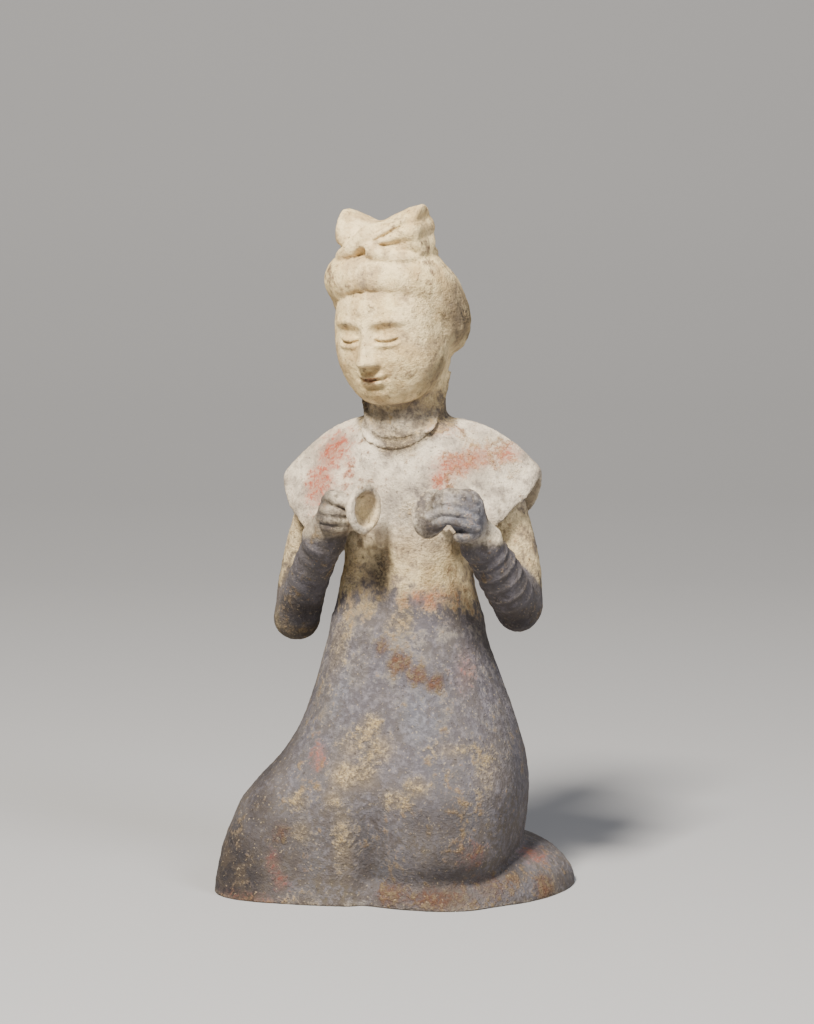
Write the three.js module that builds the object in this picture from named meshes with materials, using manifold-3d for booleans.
// Kneeling pottery musician playing a pair of small cymbals, in one piece of fired earthenware.
// Millimetres, +Z up. The figure looks towards -Y, her left hand is on the +X side, and the origin
// is where the axis of the neck meets the ground under the skirt.
import * as THREE from "three";
import { mergeVertices } from "three/addons/utils/BufferGeometryUtils.js";
import Module from "manifold-3d";

const wasm = await Module();
wasm.setup();

// Driving dimensions
const ROBE_SIDES = 42;
const HEM_SIDES = 38;
const HEM_INSIDE = 32;
const CAPE_SIDES = 32;
const CAPE_THICKNESS = 2.6;
const CAPE_TURN_DEG = 8;
const NECK_RING_RADIUS = 12;
const NECK_RING_HEIGHT = 142.5;
const CYMBAL_RADIUS = 7.5;
const CYMBAL_BOWL_RADIUS = 5.7;
const CYMBAL_DEPTH = 4.2;
const CYMBAL_THICKNESS = 1.3;
const HEAD_CENTRE = [-1.6, -5.2, 172];
const HEAD_TURN_DEG = -10;
const HEAD_NOD_DEG = 8;
const HEAD_TILT_DEG = -4;
const BOW_KNOT_X = -2.8;
const BOW_CENTRE_Y = -1.5;

const V = (x, y, z) => new THREE.Vector3(x, y, z);
const rad = THREE.MathUtils.degToRad;
const mix = THREE.MathUtils.lerp;

// A smooth hill of height 1 at distance 0, fading over the given width.
const hill = (distance, width) => Math.exp(-((distance / width) ** 2));

// Signed angle from b to a, from -PI to PI.
const turnBetween = (a, b) => Math.atan2(Math.sin(a - b), Math.cos(a - b));

// Reads one column of a table of stations, along a smooth curve through them.
function readStations(stations, place, column) {
  const last = stations.length - 1;
  let i = 0;
  while (i < last - 1 && stations[i + 1][0] < place) i += 1;
  const at = (k) => stations[Math.min(last, Math.max(0, k))];
  const [from, to] = [at(i)[0], at(i + 1)[0]];
  const t = THREE.MathUtils.clamp((place - from) / (to - from), 0, 1);
  const slope = (k) => {
    const [before, after] = [at(k - 1), at(k + 1)];
    return (after[column] - before[column]) / (after[0] - before[0]);
  };
  const [v1, v2] = [at(i)[column], at(i + 1)[column]];
  const [m1, m2] = [slope(i) * (to - from), slope(i + 1) * (to - from)];
  return (
    v1 * (2 * t ** 3 - 3 * t ** 2 + 1) +
    m1 * (t ** 3 - 2 * t ** 2 + t) +
    v2 * (3 * t ** 2 - 2 * t ** 3) +
    m2 * (t ** 3 - t ** 2)
  );
}

// A closed skin over a row of loops of points, all of one length, with a fan at each end.
function skin(loops) {
  const sides = loops[0].length;
  const points = loops.flat();
  const faces = [];
  for (let i = 0; i < loops.length - 1; i++)
    for (let j = 0; j < sides; j++) {
      const k = (j + 1) % sides;
      const [a, b] = [i * sides + j, i * sides + k];
      const [c, d] = [a + sides, b + sides];
      faces.push(a, b, d, a, d, c);
    }
  const middle = (loop) =>
    loop.reduce((sum, p) => sum.add(p), V(0, 0, 0)).divideScalar(sides);
  const [first, final] = [points.length, points.length + 1];
  points.push(middle(loops[0]), middle(loops[loops.length - 1]));
  const start = (loops.length - 1) * sides;
  for (let j = 0; j < sides; j++) {
    const k = (j + 1) % sides;
    faces.push(first, k, j, final, start + j, start + k);
  }
  const geometry = new THREE.BufferGeometry().setFromPoints(points);
  geometry.setIndex(faces);
  return geometry;
}

// One loop of points from a function of the angle, which runs from the front towards her left.
const loopOf = (sides, pointAt) =>
  Array.from({ length: sides }, (_, j) => pointAt((2 * Math.PI * j) / sides));

// A three.js geometry as a solid that can be joined and cut.
function solid(geometry) {
  const bare = geometry.clone();
  bare.deleteAttribute("normal");
  bare.deleteAttribute("uv");
  const merged = mergeVertices(bare, 1e-4);
  return new wasm.Manifold(
    new wasm.Mesh({
      numProp: 3,
      vertProperties: new Float32Array(merged.attributes.position.array),
      triVerts: new Uint32Array(merged.index.array),
    }),
  );
}

const joined = (solids) => solids.reduce((sum, s) => sum.add(s));

// An ellipsoid with its half sizes, turned and put at its centre.
function lump([x, y, z], [a, b, c], turnDeg = [0, 0, 0], detail = 10) {
  const shape = new THREE.SphereGeometry(1, detail, Math.round(detail * 0.6));
  const turn = new THREE.Euler(...turnDeg.map(rad));
  shape.scale(a, b, c);
  shape.applyMatrix4(new THREE.Matrix4().makeRotationFromEuler(turn));
  return shape.translate(x, y, z);
}

// A round limb along a smooth curve through stations of [x, y, z, radius], with domed ends.
// Cloth on it can bunch into rings, each ridge standing out by the given height.
function limb(stations, { sides = 8, steps = 5, rings = 0, ridge = 0 } = {}) {
  const points = stations.map(([x, y, z]) => V(x, y, z));
  const path = new THREE.CatmullRomCurve3(points, false, "centripetal");
  const girth = stations.map((s, i) => [i / (stations.length - 1), s[3]]);
  const radiusAt = (t) =>
    readStations(girth, t, 1) + ridge * Math.abs(Math.sin(Math.PI * rings * t));
  const frames = path.computeFrenetFrames(steps, false);
  const ring = (i, radius, push) => {
    const centre = path.getPoint(i / steps).addScaledVector(frames.tangents[i], push);
    return loopOf(sides, (a) =>
      centre
        .clone()
        .addScaledVector(frames.normals[i], radius * Math.cos(a))
        .addScaledVector(frames.binormals[i], radius * Math.sin(a)),
    );
  };
  const [startRadius, endRadius] = [radiusAt(0), radiusAt(1)];
  const [inward, outward] = [Math.cos(rad(55)), Math.sin(rad(55))];
  const loops = [ring(0, startRadius * inward, -startRadius * outward)];
  for (let i = 0; i <= steps; i++) loops.push(ring(i, radiusAt(i / steps), 0));
  loops.push(ring(steps, endRadius * inward, endRadius * outward));
  return skin(loops);
}

// Robe stations: height, centre in Y, half width at her right knee, her left knee and the hips,
// reach of the front and of the back from the centre, and squareness (2 is an ellipse).
const ROBE = [
  [0, -5, 49.4, 38.4, 36.2, 35.2, 34, 3.3],
  [7, -5, 48.8, 36.6, 34.5, 35.2, 32, 3.2],
  [15, -5, 48, 36.8, 34.8, 35.5, 31, 3.0],
  [27, -5, 46.4, 38.5, 36.1, 35.5, 32, 2.6],
  [34, -5, 41.4, 38.8, 36.3, 34.5, 32, 2.5],
  [41, -4.5, 35.1, 37.5, 35.4, 32, 31.5, 2.4],
  [52, -3.5, 29.9, 34.2, 32.3, 28, 28, 2.3],
  [64, -2, 26.8, 28.1, 28.1, 24.5, 24, 2.2],
  [76, -1, 24.1, 23.8, 23.8, 20.5, 20.5, 2.2],
  [84, 0, 22.7, 21.9, 21.9, 18, 18.5, 2.2],
  [92, 0, 21.2, 20, 20, 16.5, 17, 2.2],
  [100, 0, 19.5, 19.2, 19.2, 16, 16, 2.2],
  [110, 0, 21, 21, 21, 17.5, 16.5, 2.2],
  [120, 0, 24, 24, 24, 18, 17.5, 2.2],
  [128, 0, 23.5, 23.5, 23.5, 16.5, 17, 2.2],
  [136, 0, 16, 16, 16, 13, 14, 2.1],
  [142, 0, 11.8, 11.8, 11.8, 11.6, 11.6, 2],
];
const ROBE_HEIGHTS = [0, 6, 12, 19, 27, 35, 43, 52, 62, 73, 85, 98, 108, 118, 127, 136];
const KNEE_VALLEY = { depth: 4.4, angleDeg: 1, widthDeg: 14, height: 6, reach: 27 };
const KNEE_CORNER = { depth: -8.8, angleDeg: -54, widthDeg: 20, height: 0, reach: 30 };
const LEFT_SETBACK = { depth: 2.5, reach: 42 };
const KNEE_TUCK = { depth: 3.4, angleDeg: 50, widthDeg: 42, height: 6.5, reach: 5 };

// Distance from the robe's centre line to its surface, at an angle from the front towards her left.
function robeRadius(angle, z) {
  const read = (column) => readStations(ROBE, z, column);
  const facing = Math.cos(angle);
  const knee = read(Math.sin(angle) < 0 ? 2 : 3);
  const width = mix(read(4), knee, THREE.MathUtils.smoothstep(facing, -0.5, 0.5));
  const leftward = THREE.MathUtils.smoothstep(Math.sin(angle), -0.35, 0.55);
  const front = read(5) - LEFT_SETBACK.depth * leftward * hill(z, LEFT_SETBACK.reach);
  const depth = facing > 0 ? front : read(6);
  const square = read(7);
  const sum =
    Math.abs(Math.sin(angle) / width) ** square + Math.abs(facing / depth) ** square;
  const dent = ({ depth: deep, angleDeg, widthDeg, height, reach }) =>
    deep * hill(turnBetween(angle, rad(angleDeg)), rad(widthDeg)) * hill(z - height, reach);
  return sum ** (-1 / square) - dent(KNEE_VALLEY) - dent(KNEE_CORNER) - dent(KNEE_TUCK);
}

function robe() {
  return skin(
    ROBE_HEIGHTS.map((z) =>
      loopOf(ROBE_SIDES, (a) => {
        const r = robeRadius(a, z);
        return V(r * Math.sin(a), readStations(ROBE, z, 1) - r * Math.cos(a), z);
      }),
    ),
  );
}

// Hem spread over the ground and over the feet behind: angle in degrees from the front towards
// her left, how far the hem reaches from the axis, and how high its mound stands.
const HEM = [
  [-180, 43.3, 10],
  [-158, 48.4, 12],
  [-132, 50.7, 12],
  [-105, 49.9, 11],
  [-80, 48.3, 9],
  [-60, 46, 7],
  [-35, 34, 6],
  [0, 34, 7],
  [20, 36.5, 8],
  [60, 42.8, 9.5],
  [82, 47, 12],
  [98, 50.1, 13.5],
  [112, 51.4, 14],
  [135, 51.4, 14],
  [158, 48.4, 13],
  [180, 43.3, 10],
];
const HEM_CENTRE_Y = -2;
const HEM_LEVELS = [0, 0.2, 0.45, 0.7, 0.88, 0.98];

function hem() {
  return skin(
    HEM_LEVELS.map((level) =>
      loopOf(HEM_SIDES, (a) => {
        const degrees = THREE.MathUtils.radToDeg(turnBetween(a, 0));
        const reach = readStations(HEM, degrees, 1);
        const r = mix(HEM_INSIDE, reach, Math.sqrt(1 - level ** 2));
        const z = level * readStations(HEM, degrees, 2);
        return V(r * Math.sin(a), HEM_CENTRE_Y - r * Math.cos(a), z);
      }),
    ),
  );
}

// Rim of the jacket's shoulders: angle in degrees from the front towards her left, distance from
// the neck's axis and height. The sleeve caps flare out to the two tips.
const CAPE_RIM = [
  [-180, 20.5, 111.5],
  [-150, 23.5, 112],
  [-125, 29, 112],
  [-106, 36, 117],
  [-90, 38.8, 124.5],
  [-75, 35.5, 117.5],
  [-52, 29, 113],
  [-32, 21.5, 119],
  [-14, 15.5, 128],
  [0, 14, 132],
  [14, 15.5, 128],
  [32, 21.5, 120],
  [52, 29.5, 115],
  [75, 37, 121],
  [88, 40.8, 128],
  [104, 37, 119],
  [125, 29, 113],
  [150, 23.5, 112],
  [180, 20.5, 111.5],
];
const CAPE_STEPS = [0, 0.35, 0.7, 1];
const CAPE_BULGE = 3.7;

// The top of the jacket's shoulders, from the neck (share 0) to the rim (share 1).
function capePoint(angle, share, drop = 0) {
  const degrees = THREE.MathUtils.radToDeg(turnBetween(angle, 0));
  const rim = readStations(CAPE_RIM, degrees, 1);
  const r = mix(NECK_RING_RADIUS, rim, share) - drop * 0.35;
  const bulge = 4 * CAPE_BULGE * share * (1 - share);
  const z = mix(NECK_RING_HEIGHT, readStations(CAPE_RIM, degrees, 2), share) + bulge - drop;
  return V(r * Math.sin(angle), -r * Math.cos(angle), z);
}

function cape() {
  const under = CAPE_STEPS.map((share) =>
    loopOf(CAPE_SIDES, (a) => capePoint(a, share, CAPE_THICKNESS)),
  );
  const over = CAPE_STEPS.map((share) =>
    loopOf(CAPE_SIDES, (a) => capePoint(a, share)),
  ).reverse();
  return skin([...under, ...over]).rotateZ(rad(CAPE_TURN_DEG));
}

// Neck stations with the two rolls of the collar: centre in X and Y, height and radius.
const NECK = [
  [0, 0.5, 131, 13.5],
  [-0.1, 0, 137.5, 14.3],
  [-0.2, -0.3, 139.8, 14.1],
  [-0.2, -0.5, 141.2, 12.8],
  [-0.3, -0.6, 142.8, 12.8],
  [-0.3, -0.7, 144.4, 11.8],
  [-0.6, -1, 153, 12.1],
  [-0.6, -1.2, 164, 13.6],
];
const NECK_SIDES = 18;
const COLLAR_SLOPE = 0.2;

function neck() {
  return skin(
    NECK.map(([x, y, z, r]) =>
      loopOf(NECK_SIDES, (a) => {
        const out = r * Math.cos(a);
        return V(x + r * Math.sin(a), y - out, z - COLLAR_SLOPE * out);
      }),
    ),
  );
}

// Arms: upper arm and forearm on each side, as stations of [x, y, z, radius].
const RIGHT_UPPER_ARM = [
  [-23, 3, 127, 7.4],
  [-30.5, 4, 112, 7.2],
  [-34.9, 3, 94, 7.1],
  [-36.6, 0.5, 79.6, 6.6],
];
const RIGHT_FOREARM = [
  [-36.2, 0, 79.2, 6.5],
  [-30.5, -8, 89.5, 6.4],
  [-23.5, -16.5, 101, 6],
  [-17.5, -23.5, 110.5, 5.2],
];
const LEFT_UPPER_ARM = [
  [24, 2, 128, 7.2],
  [29.8, 3, 112, 7],
  [33.6, 2.5, 98, 7.2],
  [35, 0.5, 88, 7],
];
const LEFT_FOREARM = [
  [35.2, -1, 86.5, 6.9],
  [34.6, -9, 93.5, 6.6],
  [32.4, -17, 102.5, 6],
  [29.5, -24, 111.5, 5.2],
];

function arms() {
  return [
    limb(RIGHT_UPPER_ARM, { sides: 10 }),
    limb(RIGHT_FOREARM, { sides: 10 }),
    limb(LEFT_UPPER_ARM, { sides: 10 }),
    limb(LEFT_FOREARM, { sides: 12, steps: 10, rings: 5, ridge: 0.8 }),
  ];
}

// A small bowl-shaped cymbal, its hollow facing the given direction.
function cymbal([x, y, z], facing) {
  const [bowl, deep] = [CYMBAL_BOWL_RADIUS, CYMBAL_DEPTH];
  const curve = (radius, depth, k) => {
    const a = (Math.PI / 2) * k;
    return new THREE.Vector2(radius * Math.sin(a), -depth * Math.cos(a));
  };
  const shares = [0, 0.3, 0.65, 1];
  const outside = shares.map((k) =>
    curve(bowl + CYMBAL_THICKNESS * 0.5, deep + CYMBAL_THICKNESS, k),
  );
  const inside = shares.map((k) => curve(bowl, deep, k)).reverse();
  outside[outside.length - 1] = new THREE.Vector2(CYMBAL_RADIUS, -CYMBAL_THICKNESS * 0.6);
  inside[0] = new THREE.Vector2(CYMBAL_RADIUS, CYMBAL_THICKNESS * 0.3);
  inside.splice(1, 0, new THREE.Vector2(bowl, 0.2));
  outside[0].x = 0;
  inside[inside.length - 1].x = 0;
  const shape = new THREE.LatheGeometry([...outside, ...inside], 16);
  const turn = new THREE.Quaternion().setFromUnitVectors(V(0, 1, 0), V(...facing).normalize());
  shape.applyQuaternion(turn);
  return shape.translate(x, y, z);
}

// Her left hand lies over the back of one cymbal, her right hand is closed behind the other.
// Wrists, fingers and thumbs are stations of [x, y, z, radius].
const LEFT_CYMBAL = { centre: [18, -31.3, 118.1], facing: [-0.88, 0.46, 0.05] };
const LEFT_PALM = { centre: [28.8, -30.4, 118.6], half: [5.4, 5.2, 7] };
const LEFT_WRIST = [[29.5, -24, 112, 4.6], [29.4, -28, 116, 4.8]];
const LEFT_FINGERS = [
  [[31.6, -32.6, 122.4, 1.7], [28.4, -35.7, 124.6, 1.6], [24.4, -36.3, 125, 1.5], [20.8, -34.4, 123.4, 1.3]],
  [[32, -33.2, 119.8, 1.7], [28.8, -36.5, 122.1, 1.65], [24.4, -37, 122.5, 1.5], [20.4, -35, 120.9, 1.3]],
  [[32.2, -33.2, 117.2, 1.7], [29, -36.7, 119.5, 1.65], [24.6, -37.3, 120, 1.5], [20.4, -35.2, 118.3, 1.3]],
  [[32.2, -32.8, 114.6, 1.9], [29.4, -36.2, 116.8, 1.7], [25, -36.9, 117.4, 1.5], [21.2, -35, 115.7, 1.3]],
  [[31.8, -31, 113.4, 2.3], [30.4, -33, 112.6, 2.1], [28, -34.2, 112.2, 1.8]],
];
const RIGHT_CYMBAL = { centre: [-2.4, -30.6, 118.3], facing: [0.94, -0.33, 0.05] };
const RIGHT_PALM = { centre: [-12.8, -27.2, 117], half: [4.4, 4.8, 5.6] };
const RIGHT_WRIST = [[-17.5, -23.5, 110.5, 4.7], [-14.6, -26.2, 115, 4.6]];
const RIGHT_FINGERS = [
  [[-16.4, -28, 117.6, 1.6], [-14.8, -31.6, 117.5, 1.6], [-11.4, -32.6, 117.3, 1.6], [-8.8, -30.6, 117, 1.4]],
  [[-16.6, -28, 115, 1.6], [-15, -31.4, 115, 1.6], [-11.6, -32.4, 114.8, 1.6], [-9, -30.4, 114.6, 1.4]],
  [[-16.6, -27.6, 112.6, 1.5], [-15, -30.6, 112.6, 1.5], [-11.8, -31.6, 112.6, 1.5], [-9.4, -30, 112.6, 1.3]],
  [[-15.6, -26.6, 119.6, 2.1], [-13.2, -30, 121.2, 2], [-9.8, -32.2, 120.9, 1.9], [-6.8, -31.6, 119.8, 1.5]],
];

function hand(palm, wrist, fingers) {
  return [
    lump(palm.centre, palm.half),
    limb(wrist, { steps: 2 }),
    ...fingers.map((finger) => limb(finger, { sides: 6, steps: 4 })),
  ];
}

// Head, in its own frame: her left is +X, the face looks to -Y, and it is centred on the eyes.
// Face and swept-up hair stations: height, centre in X and Y, half width and half depth.
const FACE = [
  [-23.4, 0, -7, 5, 5],
  [-21, 0, -7, 10, 8.5],
  [-17, 0, -6, 13.8, 12],
  [-12, 0, -5, 15.9, 14.2],
  [-6, 0, -4.2, 16.9, 15.9],
  [0, 0, -4, 16.9, 16.4],
  [6, 0, -3.6, 16, 15.6],
  [11, 0, -3, 14, 13.4],
  [14, 0, -3, 11, 10.5],
];
const HAIR = [
  [-13, 0, 8, 11, 8.6],
  [-10.5, 0, 6.5, 15.6, 12],
  [-5, 0, 5, 19.4, 15.5],
  [1, -0.2, 4.2, 20.2, 16.7],
  [7, -0.8, 2.6, 20.2, 16.9],
  [11, -1.2, 0.9, 20, 17.2],
  [14.5, -1.5, -1.1, 19, 16],
  [17.8, -1.6, -1.9, 17.4, 14.3],
  [20.6, -1.4, -1.9, 14.4, 11.8],
  [22.2, -1.2, -1.6, 9, 7.6],
];
const HEAD_SIDES = 18;

// A body through level ovals, one to each station.
function ovals(stations, sides) {
  return skin(
    stations.map(([z, x, y, width, depth]) =>
      loopOf(sides, (a) => V(x + width * Math.sin(a), y - depth * Math.cos(a), z)),
    ),
  );
}

function head() {
  const nose = limb([[0, -19.8, 0.5, 1.2], [0, -20.8, -5.2, 1.6], [0, -20.6, -8.6, 2]], {
    sides: 6,
    steps: 3,
  });
  const mouth = lump([0, -18.6, -13.8], [4.4, 1.8, 1.5], [0, 0, 0], 8);
  const eyes = [-1, 1].map((side) =>
    lump([side * 6.4, -19, -1.6], [3.3, 1.4, 1.3], [0, 0, side * 18], 8),
  );
  return [ovals(FACE, HEAD_SIDES), ovals(HAIR, HEAD_SIDES), nose, mouth, ...eyes];
}

// Knotted hair on the crown: a folded loop on each side of the knot, one strand over the knot and
// one under it. A loop's stations are the distance from the knot, the middle's height, half height
// and half depth. A strand's stations are [x, y, z, radius].
const LEFT_LOOP = [
  [-3, 24.4, 4.8, 9],
  [3, 24.9, 5.6, 9.8],
  [8, 25.6, 6.6, 9.8],
  [13, 26.4, 7.7, 8.4],
  [16, 27, 8.4, 6.6],
  [17.5, 27.3, 8.5, 5.4],
];
const RIGHT_LOOP = [
  [-3, 24.4, 4.8, 9],
  [2, 24.8, 5.4, 9.6],
  [6, 25.4, 7, 9.4],
  [8.5, 26, 7.8, 8.2],
  [10, 26.3, 7.5, 6.4],
];
const LOOP_STEPS = 5;
const LOOP_FOLDS = 7;
const FOLD_DEPTH = 0.06;
const STRAND_OVER = [
  [-0.6, -9.2, 28, 2.4],
  [-4.2, -10.4, 24.8, 2.6],
  [-8.4, -9.8, 22.2, 2.5],
  [-11, -7.6, 20.9, 2.5],
  [-12.6, -2, 19.8, 2.6],
];
const STRAND_UNDER = [
  [-3, -9.4, 25.4, 2.2],
  [0.5, -11, 23.4, 2.4],
  [4.5, -11.4, 21.9, 2.4],
  [9, -9.8, 20.6, 2.4],
  [11.4, -6.8, 19.7, 2.3],
  [11.8, -1, 19.1, 2.3],
];

function hairLoop(stations, side) {
  const [first, last] = [stations[0][0], stations[stations.length - 1][0]];
  const loops = Array.from({ length: LOOP_STEPS + 1 }, (_, i) => {
    const away = mix(first, last, i / LOOP_STEPS);
    const [middle, up, deep] = [1, 2, 3].map((column) => readStations(stations, away, column));
    const folds = FOLD_DEPTH * THREE.MathUtils.smoothstep(away, 1, 9);
    return loopOf(LOOP_FOLDS * 3, (a) => {
      const fold = 1 + folds * Math.cos(LOOP_FOLDS * a);
      const y = BOW_CENTRE_Y + side * deep * fold * Math.sin(a);
      return V(BOW_KNOT_X + side * away, y, middle - up * fold * Math.cos(a));
    });
  });
  return skin(loops);
}

function bow() {
  return [
    hairLoop(LEFT_LOOP, 1),
    hairLoop(RIGHT_LOOP, -1),
    limb(STRAND_OVER, { sides: 7, steps: 7 }),
    limb(STRAND_UNDER, { sides: 7, steps: 7 }),
  ];
}

function headAndHair() {
  const place = new THREE.Matrix4()
    .makeTranslation(...HEAD_CENTRE)
    .multiply(new THREE.Matrix4().makeRotationZ(rad(HEAD_TURN_DEG)))
    .multiply(new THREE.Matrix4().makeRotationX(rad(HEAD_NOD_DEG)))
    .multiply(new THREE.Matrix4().makeRotationY(rad(HEAD_TILT_DEG)));
  return [...head(), ...bow()].map((shape) => shape.applyMatrix4(place));
}

const forms = [
  robe(),
  hem(),
  cape(),
  neck(),
  ...arms(),
  cymbal(LEFT_CYMBAL.centre, LEFT_CYMBAL.facing),
  cymbal(RIGHT_CYMBAL.centre, RIGHT_CYMBAL.facing),
  ...hand(LEFT_PALM, LEFT_WRIST, LEFT_FINGERS),
  ...hand(RIGHT_PALM, RIGHT_WRIST, RIGHT_FINGERS),
  ...headAndHair(),
];

// The outermost skin alone, so that no pocket stays sealed between the forms.
const skins = joined(forms.map(solid)).decompose();
const figure = skins.sort((a, b) => b.volume() - a.volume())[0];

const made = figure.getMesh();
const geometry = new THREE.BufferGeometry();
geometry.setAttribute("position", new THREE.BufferAttribute(made.vertProperties, 3));
geometry.setIndex(new THREE.BufferAttribute(made.triVerts, 1));
geometry.computeVertexNormals();
const earthenware = new THREE.MeshStandardMaterial({ color: "#a99d8f", roughness: 0.92, metalness: 0 });
const mesh = new THREE.Mesh(geometry, earthenware);
mesh.name = "musician_figure";

const group = new THREE.Group();
group.add(mesh);

export default group;
